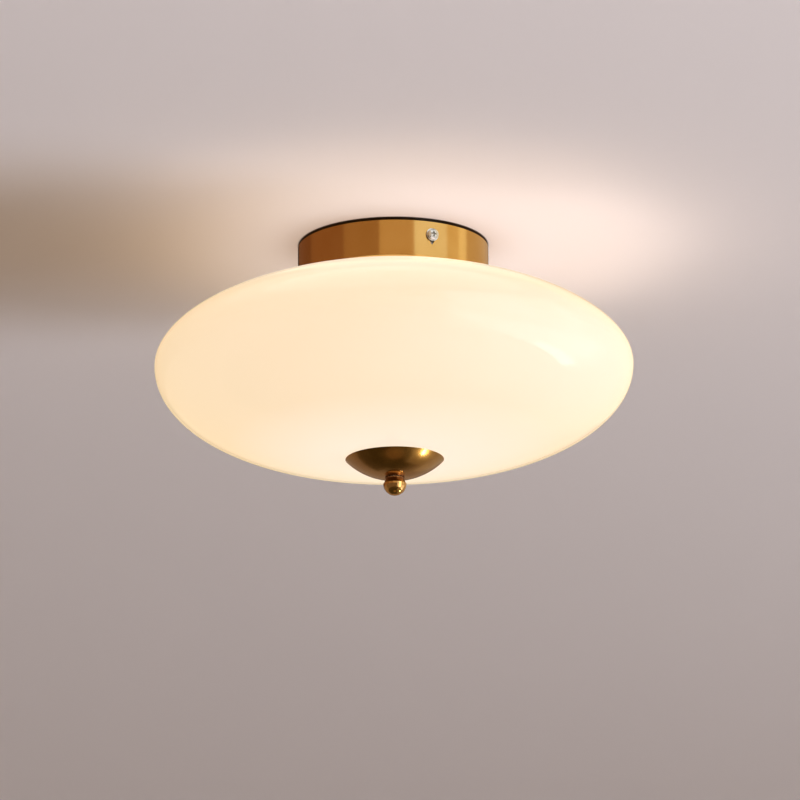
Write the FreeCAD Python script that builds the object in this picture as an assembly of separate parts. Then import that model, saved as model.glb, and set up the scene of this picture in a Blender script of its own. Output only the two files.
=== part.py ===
import FreeCAD, Part
import math
import os

# A flush ceiling light: a drawn brass canopy on a ceiling bracket, an opal glass shade under it,
# and a threaded rod whose end carries the dish cap and the ball finial that hold the shade up.
# All sizes are in millimetres. The origin lies on the ceiling plane on the rod's axis, and +Z points up.

# Canopy
canopy_diameter = 120.0
canopy_depth = 24.0
canopy_wall = 1.0
canopy_edge_radius = 2.0
ceiling_gap = 1.0

# Teardrop holes and side screws that hold the canopy to the bracket
side_screw_drop = 9.5
side_screw_size = 4.0
side_screw_length = 7.0
side_head_diameter = 7.0
side_head_height = 2.2
side_washer_diameter = 8.0
side_washer_thickness = 0.5
teardrop_diameter = 7.0
teardrop_reach = 6.5
seated_gap = 0.3

# Ceiling bracket
bracket_width = 25.0
bracket_thickness = 1.5
bracket_tab_width = 14.0
bracket_tab_drop = 15.0
bracket_bend_radius = 1.0
bracket_side_clearance = 0.7
bracket_neck_length = 14.0
ceiling_slot_width = 4.5
ceiling_slot_length = 20.0
ceiling_slot_spacing = 70.0
cable_hole_diameter = 13.0

# Earth screw on the bracket
earth_screw_size = 4.0
earth_head_diameter = 8.0
earth_head_height = 2.4
earth_screw_across = 8.5
earth_screw_along = 17.0

# Threaded rod with its nuts and washers
rod_diameter = 10.0
rod_bore = 7.0
rod_top_stand = 3.5
nut_across_flats = 14.0
nut_height = 4.0
rod_washer_diameter = 20.0
rod_washer_thickness = 1.5
hole_clearance = 0.3
running_clearance = 0.05

# Upper gasket and glass shade
gasket_thickness = 0.9
gasket_width = 7.0
shade_diameter = 300.0
shade_height = 112.0
shade_wall = 3.0
shade_hole_diameter = 14.0
shade_foot_diameter = 64.0
shade_mouth_clearance = 4.0
shade_land_width = 8.8
shade_shoulder_share = 0.468

# The glass's profile is one smooth curve above its equator and one below. Each starts upright, with a
# handle as a share of the rise, and ends level or at a slope in degrees, with a handle as a share of the run.
crown_rise_share = 0.458
crown_run_share = 0.495
crown_end_slope = 8.6
belly_rise_share = 0.604
belly_run_share = 0.5

# Bush in the shade's lower hole
bush_flange_diameter = 20.0
bush_flange_thickness = 1.2

# Dish cap and its soft ring
dish_diameter = 61.6
dish_depth = 11.7
dish_wall = 1.0
dish_land_diameter = 15.0
dish_ring_width = 2.4
dish_ring_thickness = 1.2
dish_ring_proud = 0.3

# Ball finial
finial_ball_diameter = 14.4
finial_neck_diameter = 12.2
finial_neck_height = 0.6
finial_shoulder_drop = 3.9
finial_step = 0.2
finial_flare_share = 0.25
finial_thread_depth = 7.2
finial_end_gap = 0.6

# Lamp plate
plate_drop = 11.0
plate_thickness = 0.8
plate_rim_height = 4.0
plate_wire_hole = 11.5
plate_nut_height = 3.0

# Lampholders: three ceramic holders on a circle under the plate, each a body and a cover
holder_count = 3
holder_first_angle = 60.0
holder_washer_gap = 5.0
holder_rim_gap = 5.0
holder_cover_diameter = 22.0
holder_cover_height = 5.0
holder_body_diameter = 19.0
holder_body_height = 12.0
holder_pocket_length = 14.0
holder_pocket_width = 7.0
holder_pocket_depth = 6.0
holder_pin_slot_length = 4.8
holder_pin_slot_width = 1.6
holder_screw_offset = 8.4

# Small screws, and the rise of every screw head's dome
screw_head_dome = 0.7
small_screw_size = 3.0
small_head_diameter = 5.6
small_head_height = 2.0
holder_screw_end_gap = 0.5

# Plug-in bulbs
bulb_collar_diameter = 16.0
bulb_collar_height = 3.0
bulb_globe_length = 40.0
bulb_globe_wall = 1.0
bulb_spigot_height = 3.0
bulb_fit_gap = 0.3
pin_spacing = 9.0
pin_wire = 0.9
pin_loop_width = 3.2
pin_length = 5.0

# Terminal block on the canopy floor
block_length = 29.0
block_depth = 16.0
block_height = 12.0
block_pole_pitch = 10.0
block_rod_distance = 29.0
block_bore_height = 5.0
block_groove = 1.0
sleeve_diameter = 6.0
sleeve_bore = 4.8
sleeve_end_gap = 1.0
clamp_screw_size = 2.6
clamp_screw_inset = 3.5
clamp_screw_recess = 0.6
block_screw_length = 13.5

# Grommet in the canopy floor
grommet_distance = 18.0
grommet_hole_diameter = 10.6
grommet_bore = 8.0
grommet_flange_diameter = 14.0
grommet_flange_thickness = 1.5

# Leads
lead_diameter = 1.5
lead_bend_radius = 2.0
lead_row_gap = 2.2
lead_column_pitch = 2.6
lead_fan_pitch = 1.9
lead_fan_lift = 0.9
lead_first_level_drop = 3.4
lead_level_pitch = 2.1
lead_rod_clearance = 12.0
lead_core_diameter = 0.8
lead_core_bite = 6.0
earth_crossing_lift = 3.0
earth_run_x_shares = (0.35, 0.45)
earth_run_y_shares = (0.8, 0.5, 0.1)
side_run_columns = 2.2

# Earth tag and its screw on the canopy floor
tag_angle = -58.0
tag_mouth_inset = 8.3
tag_ring_diameter = 8.0
tag_thickness = 0.8
tag_barrel_length = 6.0
tag_barrel_diameter = 3.0
tag_screw_tail = 4.0
tag_nut_across_flats = 7.0
tag_nut_height = 3.2

# Length by which every cut runs past the face that it leaves
overrun = 1.0

# Sizes that follow from the ones above: the holders stand round the plate's washer, the plate carries
# them, and the glass passes over the plate
holder_circle_radius = (rod_washer_diameter + holder_cover_diameter) / 2 + holder_washer_gap
plate_diameter = 2 * holder_circle_radius + holder_cover_diameter + 2 * holder_rim_gap
shade_mouth_diameter = plate_diameter + 2 * shade_mouth_clearance
shade_land_diameter = shade_mouth_diameter + 2 * shade_land_width
tag_distance = shade_mouth_diameter / 2 - tag_mouth_inset
tag_place_x = tag_distance * math.cos(math.radians(tag_angle))
tag_place_y = tag_distance * math.sin(math.radians(tag_angle))

# Levels, from the ceiling down
canopy_radius = canopy_diameter / 2
canopy_top = -ceiling_gap
canopy_bottom = canopy_top - canopy_depth
floor_top = canopy_bottom + canopy_wall
gasket_bottom = canopy_bottom - gasket_thickness
shade_top = gasket_bottom - seated_gap
shade_bottom = shade_top - shade_height
shade_equator = shade_top - shade_height * shade_shoulder_share
plate_top = canopy_bottom - plate_drop
plate_bottom = plate_top - plate_thickness
holder_joint = plate_bottom - holder_cover_height
holder_bottom = holder_joint - holder_body_height
dish_ring_top = shade_bottom - seated_gap
dish_top = dish_ring_top - dish_ring_proud
dish_bottom = dish_top - dish_depth
finial_top = dish_bottom - seated_gap
finial_equator = finial_top - finial_shoulder_drop
finial_bore_end = finial_top - finial_thread_depth
rod_bottom = finial_bore_end + finial_end_gap
upper_nut_top = floor_top + rod_washer_thickness + nut_height
rod_top = upper_nut_top + rod_top_stand
side_screw_level = -side_screw_drop

nodes = {}


def vector(x, y, z):
    return FreeCAD.Vector(x, y, z)


def add(name, *solids):
    """Keeps one node: a single solid, or a group of separate solids."""
    nodes[name] = solids[0] if len(solids) == 1 else Part.makeCompound(list(solids))


def rounded_edges(points, radii):
    """Straight edges through the points, with a tangent arc of the given radius at each inner point."""
    edges = []
    start = points[0]
    for before, corner, after, radius in zip(points, points[1:], points[2:], radii):
        back = (before - corner).normalize()
        ahead = (after - corner).normalize()
        half = back.getAngle(ahead) / 2
        reach = radius / math.tan(half)
        middle = (back + ahead).normalize() * (radius / math.sin(half) - radius)
        arc_start = corner + back * reach
        arc_end = corner + ahead * reach
        if radius > 0:
            edges.append(Part.LineSegment(start, arc_start).toShape())
            edges.append(Part.Arc(arc_start, corner + middle, arc_end).toShape())
        else:
            edges.append(Part.LineSegment(start, corner).toShape())
        start = arc_end if radius > 0 else corner
    edges.append(Part.LineSegment(start, points[-1]).toShape())
    return edges


def turned(edges):
    """A solid of revolution about Z from the edges of a closed outline in the XZ plane."""
    face = Part.Face(Part.Wire(Part.sortEdges(edges)[0]))
    return face.revolve(vector(0, 0, 0), vector(0, 0, 1), 360)


def turned_outline(outline, radii=None):
    """A solid of revolution from (radius, height) points, with optional roundings at the points."""
    points = [vector(radius, 0, height) for radius, height in outline]
    radii = radii or [0] * len(points)
    middle = (points[0] + points[-1]) * 0.5
    return turned(rounded_edges([middle] + points + [middle], radii))


def cylinder(diameter, bottom, top, x=0, y=0):
    return Part.makeCylinder(diameter / 2, top - bottom, vector(x, y, bottom))


def tube(outer, inner, bottom, top, x=0, y=0):
    return cylinder(outer, bottom, top, x, y).cut(cylinder(inner, bottom - overrun, top + overrun, x, y))


def box(x_low, x_high, y_low, y_high, z_low, z_high):
    return Part.makeBox(x_high - x_low, y_high - y_low, z_high - z_low, vector(x_low, y_low, z_low))


def swept(points, radii, diameter):
    """A round wire along the points, each corner rounded by its radius."""
    path = Part.Wire(rounded_edges(points, radii))
    along = (points[1] - points[0]).normalize()
    section = Part.Wire(Part.Circle(points[0], along, diameter / 2).toShape())
    return path.makePipeShell([section], True, False)


def turned_about(solid, angle):
    """A copy of the solid, turned about the rod's axis by an angle in degrees."""
    copy = solid.copy()
    copy.rotate(vector(0, 0, 0), vector(0, 0, 1), angle)
    return copy


def laid_out(solid, level, turn):
    """Takes a solid drawn along +Z from the origin and lays it along +Y at a level, then turns it about Z."""
    copy = solid.copy()
    copy.rotate(vector(0, 0, 0), vector(1, 0, 0), -90)
    copy.translate(vector(0, 0, level))
    return turned_about(copy, turn)


# The two sides on which a side screw stands: a turn about Z from the back (+Y) side
side_turns = {"front": 180, "back": 0}


def canopy_shell():
    """The drawn cup: wall, rounded lower edge and floor, open to the ceiling."""
    inner_radius = canopy_radius - canopy_wall
    bore_radius = rod_diameter / 2 + hole_clearance
    outline = [
        (bore_radius, canopy_bottom),
        (canopy_radius, canopy_bottom),
        (canopy_radius, canopy_top),
        (inner_radius, canopy_top),
        (inner_radius, floor_top),
        (bore_radius, floor_top),
    ]
    inner_edge = max(canopy_edge_radius - canopy_wall, 0)
    radii = [0, canopy_edge_radius, 0, 0, inner_edge, 0]
    return turned_outline(outline, radii)


def teardrop_cutter():
    """The hole round a side screw: a circle drawn out to a point below it."""
    radius = teardrop_diameter / 2
    depth = canopy_wall * 2 + overrun
    circle = Part.makeCylinder(radius, depth)
    touch = math.acos(radius / teardrop_reach)
    side_x = radius * math.sin(touch)
    side_z = radius * math.cos(touch)
    corners = [
        vector(0, 0, 0),
        vector(-side_x, side_z, 0),
        vector(0, teardrop_reach, 0),
        vector(side_x, side_z, 0),
        vector(0, 0, 0),
    ]
    point = Part.Face(Part.makePolygon(corners)).extrude(vector(0, 0, depth))
    cutter = circle.fuse(point)
    cutter.translate(vector(0, 0, canopy_radius - depth + overrun))
    return cutter


def canopy():
    """The drawn cup with its two teardrop holes and the holes in its floor."""
    cup = canopy_shell()
    for turn in side_turns.values():
        cup = cup.cut(laid_out(teardrop_cutter(), side_screw_level, turn))
    low = canopy_bottom - overrun
    high = floor_top + overrun
    cup = cup.cut(cylinder(grommet_hole_diameter, low, high, grommet_distance))
    for x, y in block_screw_places():
        cup = cup.cut(cylinder(small_screw_size + hole_clearance, low, high, x, y))
    return cup.cut(cylinder(earth_screw_size + hole_clearance, low, high, tag_place_x, tag_place_y))


def bracket_outline_radius():
    """Distance from the axis to the outer face of a tab."""
    return canopy_radius - canopy_wall - bracket_side_clearance


def bracket():
    """A strap across the ceiling with a tab bent down at each end, tapped for a side screw."""
    reach = bracket_outline_radius()
    thickness = bracket_thickness
    low = -bracket_tab_drop
    strip = [
        vector(0, 0, 0),
        vector(0, reach, 0),
        vector(0, reach, low),
        vector(0, reach - thickness, low),
        vector(0, reach - thickness, -thickness),
        vector(0, 0, -thickness),
    ]
    radii = [bracket_bend_radius + thickness, 0, 0, bracket_bend_radius]
    edges = rounded_edges(strip, radii)
    edges.append(Part.LineSegment(strip[-1], strip[0]).toShape())
    half = Part.Face(Part.Wire(Part.sortEdges(edges)[0]))
    half = half.extrude(vector(bracket_width, 0, 0))
    half.translate(vector(-bracket_width / 2, 0, 0))
    half = half.common(bracket_plan(reach))
    strap = half.fuse(turned_about(half, 180)).removeSplitter()
    for turn in side_turns.values():
        strap = strap.cut(turned_about(ceiling_slot(), turn))
        tapped = Part.makeCylinder(side_screw_size / 2 + running_clearance, reach + overrun)
        strap = strap.cut(laid_out(tapped, side_screw_level, turn))
    bottom = -thickness - overrun
    strap = strap.cut(cylinder(cable_hole_diameter, bottom, overrun))
    earth_hole = earth_screw_size + running_clearance * 2
    return strap.cut(cylinder(earth_hole, bottom, overrun, earth_screw_across, earth_screw_along))


def bracket_plan(reach):
    """Half of the strap as seen from below: full width at the middle, necked in to the tab."""
    half_width = bracket_width / 2
    half_tab = bracket_tab_width / 2
    neck_start = reach - bracket_neck_length
    neck_end = reach - bracket_neck_length + (half_width - half_tab)
    corners = [
        (-half_width, 0),
        (-half_width, neck_start),
        (-half_tab, neck_end),
        (-half_tab, reach + overrun),
        (half_tab, reach + overrun),
        (half_tab, neck_end),
        (half_width, neck_start),
        (half_width, 0),
        (-half_width, 0),
    ]
    low = -bracket_tab_drop - overrun
    face = Part.Face(Part.makePolygon([vector(x, y, low) for x, y in corners]))
    return face.extrude(vector(0, 0, overrun - low))


def ceiling_slot():
    """A slot for a ceiling screw, running along the strap."""
    middle = ceiling_slot_spacing / 2
    run = (ceiling_slot_length - ceiling_slot_width) / 2
    low = -bracket_thickness - overrun
    half = ceiling_slot_width / 2
    slot = box(-half, half, middle - run, middle + run, low, overrun)
    for end in (middle - run, middle + run):
        slot = slot.fuse(cylinder(ceiling_slot_width, low, overrun, 0, end))
    return slot


def pan_screw(size, length, head_diameter, head_height):
    """A domed-head screw along +Z: the head's seat at the origin, the shank below it."""
    dome = screw_head_dome
    head_radius = head_diameter / 2
    shank_radius = size / 2
    shoulder = head_height - dome
    edges = [
        Part.LineSegment(vector(0, 0, -length), vector(shank_radius, 0, -length)),
        Part.LineSegment(vector(shank_radius, 0, -length), vector(shank_radius, 0, 0)),
        Part.LineSegment(vector(shank_radius, 0, 0), vector(head_radius, 0, 0)),
        Part.LineSegment(vector(head_radius, 0, 0), vector(head_radius, 0, shoulder)),
    ]
    sphere = (head_radius ** 2 + dome ** 2) / (2 * dome)
    half_rise = dome - sphere + math.sqrt(sphere ** 2 - (head_radius / 2) ** 2)
    crown = vector(head_radius / 2, 0, shoulder + half_rise)
    edges.append(Part.Arc(vector(head_radius, 0, shoulder), crown, vector(0, 0, head_height)))
    edges.append(Part.LineSegment(vector(0, 0, head_height), vector(0, 0, -length)))
    return turned([edge.toShape() for edge in edges])


def side_screws():
    """Each side screw with its washer, on the front and on the back of the canopy."""
    washer_low = canopy_radius + seated_gap
    washer_top = washer_low + side_washer_thickness
    bore = side_screw_size + running_clearance * 4
    washer = tube(side_washer_diameter, bore, washer_low, washer_top)
    screw = pan_screw(side_screw_size, side_screw_length, side_head_diameter, side_head_height)
    screw.translate(vector(0, 0, washer_top + running_clearance))
    for side, turn in side_turns.items():
        add("side_washer_" + side, laid_out(washer, side_screw_level, turn))
        add("side_screw_" + side, laid_out(screw, side_screw_level, turn))


def bracket_earth_screw():
    screw = pan_screw(earth_screw_size, bracket_thickness, earth_head_diameter, earth_head_height)
    screw.rotate(vector(0, 0, 0), vector(1, 0, 0), 180)
    screw.translate(vector(earth_screw_across, earth_screw_along, -bracket_thickness))
    return screw


def hexagon_nut(across_flats, bore, bottom, top, x=0, y=0):
    corner_radius = across_flats / math.sqrt(3)
    corners = []
    for angle in range(0, 361, 60):
        across = corner_radius * math.cos(math.radians(angle))
        along = corner_radius * math.sin(math.radians(angle))
        corners.append(vector(x + across, y + along, bottom))
    prism = Part.Face(Part.makePolygon(corners)).extrude(vector(0, 0, top - bottom))
    return prism.cut(cylinder(bore, bottom - overrun, top + overrun, x, y))


def rod_nut(bottom, top):
    return hexagon_nut(nut_across_flats, rod_diameter, bottom, top)


def rod_and_nuts():
    """The hollow rod, the nuts that clamp it in the canopy floor and the nuts that clamp the lamp plate."""
    add("threaded_rod", tube(rod_diameter, rod_bore, rod_bottom, rod_top))
    washer_bore = rod_diameter + hole_clearance
    add("floor_washer", tube(rod_washer_diameter, washer_bore, floor_top, floor_top + rod_washer_thickness))
    nut_seat = floor_top + rod_washer_thickness
    add(
        "canopy_nuts",
        rod_nut(nut_seat, upper_nut_top),
        rod_nut(canopy_bottom - plate_nut_height, canopy_bottom),
    )
    upper_washer = tube(rod_washer_diameter, washer_bore, plate_top, plate_top + rod_washer_thickness)
    lower_washer = tube(rod_washer_diameter, washer_bore, plate_bottom - rod_washer_thickness, plate_bottom)
    add("plate_washers", upper_washer, lower_washer)
    upper_seat = plate_top + rod_washer_thickness
    lower_seat = plate_bottom - rod_washer_thickness
    add(
        "plate_nuts",
        rod_nut(upper_seat, upper_seat + plate_nut_height),
        rod_nut(lower_seat - plate_nut_height, lower_seat),
    )


def upper_gasket():
    inner = shade_mouth_diameter + gasket_thickness * 2
    return tube(inner + gasket_width * 2, inner, gasket_bottom, canopy_bottom)


def half_profile(end_radius, end_level, rise_share, run_share, end_slope):
    """The four poles of the glass's profile from its equator to an end point above or below."""
    start_radius = shade_diameter / 2
    rise = end_level - shade_equator
    slope = math.radians(end_slope)
    handle = (start_radius - end_radius) * run_share
    down = math.copysign(handle * math.sin(slope), rise)
    return [
        vector(start_radius, 0, shade_equator),
        vector(start_radius, 0, shade_equator + rise * rise_share),
        vector(end_radius + handle * math.cos(slope), 0, end_level - down),
        vector(end_radius, 0, end_level),
    ]


def inset_poles(poles, wall):
    """The poles of the same curve moved inwards by the wall: each leg is set in and the legs meet again."""
    turn_sign = 1 if poles[1].z > poles[0].z else -1
    legs = []
    for first, second in zip(poles, poles[1:]):
        along = (second - first).normalize()
        inward = vector(-along.z, 0, along.x) * turn_sign
        legs.append((first + inward * wall, along, second + inward * wall))
    inset = [legs[0][0]]
    for (start, along, _), (other_start, other_along, _) in zip(legs, legs[1:]):
        gap = other_start - start
        cross = along.x * other_along.z - along.z * other_along.x
        inset.append(start + along * ((gap.x * other_along.z - gap.z * other_along.x) / cross))
    inset.append(legs[-1][2])
    return inset


def curve(poles):
    smooth = Part.BezierCurve()
    smooth.setPoles(poles)
    return smooth.toShape()


def glass_shade():
    """The opal glass: a flattened bowl, closed over at the top but for its mouth, holed at its foot."""
    mouth = shade_mouth_diameter / 2
    hole = shade_hole_diameter / 2
    land = shade_land_diameter / 2
    foot_radius = shade_foot_diameter / 2
    crown = half_profile(land, shade_top, crown_rise_share, crown_run_share, crown_end_slope)
    belly = half_profile(foot_radius, shade_bottom, belly_rise_share, belly_run_share, 0)
    inner_crown = inset_poles(crown, shade_wall)
    inner_belly = inset_poles(belly, shade_wall)
    crown_end = inner_crown[-1]
    belly_end = inner_belly[-1]
    neck_level = crown_end.z + (crown_end.x - mouth) * math.tan(math.radians(crown_end_slope))
    corners = [
        crown_end,
        vector(mouth, 0, neck_level),
        vector(mouth, 0, shade_top),
        crown[-1],
    ]
    foot = [
        belly[-1],
        vector(hole, 0, shade_bottom),
        vector(hole, 0, belly_end.z),
        belly_end,
    ]
    edges = [curve(crown), curve(belly), curve(inner_crown), curve(inner_belly)]
    for line in (corners, foot):
        edges += [Part.LineSegment(start, end).toShape() for start, end in zip(line, line[1:])]
    return turned(edges)


def shade_bush():
    """The collar in the shade's lower hole that keeps the glass off the rod."""
    bore = rod_diameter / 2 + hole_clearance
    hub = shade_hole_diameter / 2 - hole_clearance
    flange = bush_flange_diameter / 2
    inside = shade_bottom + shade_wall
    outline = [
        (bore, shade_bottom + hole_clearance),
        (hub, shade_bottom + hole_clearance),
        (hub, inside),
        (flange, inside),
        (flange, inside + bush_flange_thickness),
        (bore, inside + bush_flange_thickness),
    ]
    return turned_outline(outline)


def dish_arc(rim_radius, rim_level, land_radius, land_level):
    """The dish's spherical side, from its rim down to the edge of its flat land."""
    centre = sphere_centre(rim_radius, rim_level, land_radius, land_level)
    sphere = math.hypot(rim_radius, rim_level - centre)
    middle = (rim_radius + land_radius) / 2
    return Part.Arc(
        vector(rim_radius, 0, rim_level),
        vector(middle, 0, centre - math.sqrt(sphere ** 2 - middle ** 2)),
        vector(land_radius, 0, land_level),
    )


def sphere_centre(rim_radius, rim_level, land_radius, land_level):
    """The level on the axis that is as far from the rim as from the land's edge."""
    rim_square = rim_radius ** 2 + rim_level ** 2
    land_square = land_radius ** 2 + land_level ** 2
    return (rim_square - land_square) / (2 * (rim_level - land_level))


def dish_cap():
    """The spun dish: a shallow bowl with a flat land for the finial, holed for the rod."""
    rim = dish_diameter / 2
    land = dish_land_diameter / 2
    hole = rod_diameter / 2 + hole_clearance
    inner_rim = rim - dish_wall
    outer = dish_arc(rim, dish_top, land, dish_bottom)
    inner = dish_arc(inner_rim, dish_top, land, dish_bottom + dish_wall)
    lines = [
        (vector(rim, 0, dish_top), vector(inner_rim, 0, dish_top)),
        (vector(land, 0, dish_bottom), vector(hole, 0, dish_bottom)),
        (vector(hole, 0, dish_bottom), vector(hole, 0, dish_bottom + dish_wall)),
        (vector(hole, 0, dish_bottom + dish_wall), vector(land, 0, dish_bottom + dish_wall)),
    ]
    edges = [outer.toShape(), inner.toShape()]
    edges += [Part.LineSegment(start, end).toShape() for start, end in lines]
    return turned(edges)


def dish_ring():
    """The soft ring just inside the dish's rim, which the glass rests on."""
    outer = dish_diameter / 2 - dish_wall
    inner = outer - dish_ring_width
    low = dish_ring_top - dish_ring_thickness
    centre = sphere_centre(outer, dish_top, dish_land_diameter / 2, dish_bottom + dish_wall)
    sphere = math.hypot(outer, dish_top - centre)
    low_outer = math.sqrt(sphere ** 2 - (low - centre) ** 2)
    outline = [
        (inner, dish_ring_top),
        (outer, dish_ring_top),
        (outer, dish_top),
        (low_outer, low),
        (inner, low),
    ]
    return turned_outline(outline)


def ball_finial():
    """A flared neck on a ball, drilled blind for the rod's end."""
    bore = rod_diameter / 2 + running_clearance
    neck = finial_neck_diameter / 2
    ball = finial_ball_diameter / 2
    shoulder = ball + finial_step / 2
    neck_end = finial_top - finial_neck_height
    rim_level = finial_equator + finial_step
    flare_middle = vector(neck + (shoulder - neck) * finial_flare_share, 0, (neck_end + rim_level) / 2)
    ball_bottom = finial_equator - ball
    slant = ball * math.sqrt(0.5)
    edges = [
        Part.LineSegment(vector(0, 0, finial_bore_end), vector(bore, 0, finial_bore_end)),
        Part.LineSegment(vector(bore, 0, finial_bore_end), vector(bore, 0, finial_top)),
        Part.LineSegment(vector(bore, 0, finial_top), vector(neck, 0, finial_top)),
        Part.LineSegment(vector(neck, 0, finial_top), vector(neck, 0, neck_end)),
        Part.Arc(vector(neck, 0, neck_end), flare_middle, vector(shoulder, 0, rim_level)),
        Part.LineSegment(vector(shoulder, 0, rim_level), vector(shoulder, 0, finial_equator)),
        Part.LineSegment(vector(shoulder, 0, finial_equator), vector(ball, 0, finial_equator)),
        Part.Arc(
            vector(ball, 0, finial_equator),
            vector(slant, 0, finial_equator - slant),
            vector(0, 0, ball_bottom),
        ),
        Part.LineSegment(vector(0, 0, ball_bottom), vector(0, 0, finial_bore_end)),
    ]
    return turned([edge.toShape() for edge in edges])


def holder_angles():
    return [holder_first_angle + 360 / holder_count * index for index in range(holder_count)]


def holder_screw_spots():
    """Where a holder's two screws stand, for a holder drawn on the +X axis."""
    return [holder_circle_radius - holder_screw_offset, holder_circle_radius + holder_screw_offset]


def lamp_plate():
    """The white pressed plate that carries the lampholders, with its edge turned down."""
    outer = plate_diameter / 2
    hole = rod_diameter / 2 + hole_clearance
    outline = [
        (hole, plate_top),
        (outer, plate_top),
        (outer, plate_top - plate_rim_height),
        (outer - plate_thickness, plate_top - plate_rim_height),
        (outer - plate_thickness, plate_bottom),
        (hole, plate_bottom),
    ]
    plate = turned_outline(outline, [0, plate_thickness * 2, 0, 0, plate_thickness, 0])
    low = plate_bottom - overrun
    high = plate_top + overrun
    screw_hole = small_screw_size + hole_clearance
    for angle in holder_angles():
        plate = plate.cut(turned_about(cylinder(plate_wire_hole, low, high, holder_circle_radius), angle))
        for spot in holder_screw_spots():
            plate = plate.cut(turned_about(cylinder(screw_hole, low, high, spot), angle))
    return plate


def lampholder():
    """A ceramic body on the +X axis: a pocket for the bulb's base, and two contact chambers above it."""
    x = holder_circle_radius
    body = cylinder(holder_body_diameter, holder_bottom, holder_joint, x)
    half_width = holder_pocket_width / 2
    half_length = holder_pocket_length / 2
    pocket_top = holder_bottom + holder_pocket_depth
    body = body.cut(
        box(x - half_width, x + half_width, -half_length, half_length, holder_bottom - overrun, pocket_top)
    )
    half_slot = holder_pin_slot_length / 2
    half_slit = holder_pin_slot_width / 2
    low = pocket_top - overrun
    high = holder_joint + overrun
    for pin in (-pin_spacing / 2, pin_spacing / 2):
        body = body.cut(box(x - half_slot, x + half_slot, pin - half_slit, pin + half_slit, low, high))
    return body


def holder_cover():
    """The cover on the +X axis that closes a holder's chambers, with two lead holes and two screw holes."""
    x = holder_circle_radius
    cover = cylinder(holder_cover_diameter, holder_joint, plate_bottom, x)
    low = holder_joint - overrun
    high = plate_bottom + overrun
    for pin in (-pin_spacing / 2, pin_spacing / 2):
        cover = cover.cut(cylinder(lead_diameter + hole_clearance, low, high, x, pin))
    for spot in holder_screw_spots():
        cover = cover.cut(cylinder(small_screw_size, low, high, spot))
    return cover


def holder_screws():
    screw_length = holder_cover_height - holder_screw_end_gap + plate_thickness
    screws = []
    for angle in holder_angles():
        for spot in holder_screw_spots():
            screw = pan_screw(small_screw_size, screw_length, small_head_diameter, small_head_height)
            screw.translate(vector(spot, 0, plate_top))
            screws.append(turned_about(screw, angle))
    return screws


def bulb_base():
    """The bulb's moulded base on the +X axis: flat stem in the holder's pocket, collar and spigot."""
    x = holder_circle_radius
    collar_top = holder_bottom - bulb_fit_gap
    collar_bottom = collar_top - bulb_collar_height
    half_width = holder_pocket_width / 2 - bulb_fit_gap
    half_length = holder_pocket_length / 2 - bulb_fit_gap
    stem_top = holder_bottom + holder_pocket_depth - bulb_fit_gap
    stem = box(x - half_width, x + half_width, -half_length, half_length, collar_top, stem_top)
    collar = cylinder(bulb_collar_diameter, collar_bottom, collar_top, x)
    spigot_diameter = bulb_collar_diameter - bulb_globe_wall * 2 - running_clearance * 2
    spigot = cylinder(spigot_diameter, collar_bottom - bulb_spigot_height, collar_bottom, x)
    return stem.fuse(collar).fuse(spigot).removeSplitter()


def bulb_globe():
    """The bulb's opal cover on the +X axis: a thin tube with a round end, pushed over the base's spigot."""
    top = holder_bottom - bulb_fit_gap - bulb_collar_height
    outer = bulb_collar_diameter / 2
    inner = outer - bulb_globe_wall
    centre = top - bulb_globe_length + outer
    edges = [
        Part.LineSegment(vector(inner, 0, top), vector(outer, 0, top)),
        Part.LineSegment(vector(outer, 0, top), vector(outer, 0, centre)),
        Part.Arc(
            vector(outer, 0, centre),
            vector(outer * math.sqrt(0.5), 0, centre - outer * math.sqrt(0.5)),
            vector(0, 0, centre - outer),
        ),
        Part.LineSegment(vector(0, 0, centre - outer), vector(0, 0, centre - inner)),
        Part.Arc(
            vector(0, 0, centre - inner),
            vector(inner * math.sqrt(0.5), 0, centre - inner * math.sqrt(0.5)),
            vector(inner, 0, centre),
        ),
        Part.LineSegment(vector(inner, 0, centre), vector(inner, 0, top)),
    ]
    globe = turned([edge.toShape() for edge in edges])
    globe.translate(vector(holder_circle_radius, 0, 0))
    return globe


def bulb_pins():
    """The bulb's two contact loops on the +X axis, each bent from square wire."""
    stem_top = holder_bottom + holder_pocket_depth - bulb_fit_gap
    outer = (pin_loop_width + pin_wire) / 2
    inner = outer - pin_wire
    centre = stem_top + pin_length - outer
    x = holder_circle_radius
    loops = []
    for sign in (-1, 1):
        y = sign * pin_spacing / 2 - pin_wire / 2
        solid = box(x - outer, x + outer, y, y + pin_wire, stem_top, centre)
        solid = solid.fuse(round_bar(outer, x, y, centre))
        solid = solid.cut(box(x - inner, x + inner, y - overrun, y + pin_wire + overrun, stem_top, centre))
        loops.append(solid.cut(round_bar(inner, x, y, centre)).removeSplitter())
    return loops


def round_bar(radius, x, y, level):
    """A round bar along Y, one wire thick, that rounds off a contact loop."""
    return Part.makeCylinder(radius, pin_wire, vector(x, y, level), vector(0, 1, 0))


def lamps():
    """Each lampholder with its cover, and the base, pins and globe of its bulb."""
    for index, angle in enumerate(holder_angles(), start=1):
        add("lampholder_" + str(index), turned_about(lampholder(), angle))
        add("holder_cover_" + str(index), turned_about(holder_cover(), angle))
        bulb = "bulb_" + str(index)
        add(bulb + "_base", turned_about(bulb_base(), angle))
        add(bulb + "_globe", turned_about(bulb_globe(), angle))
        add(bulb + "_pins", *[turned_about(loop, angle) for loop in bulb_pins()])


def pole_places():
    """Where the terminal block's three poles stand along Y: blue, earth and brown."""
    return {"blue": -block_pole_pitch, "earth": 0, "brown": block_pole_pitch}


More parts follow.
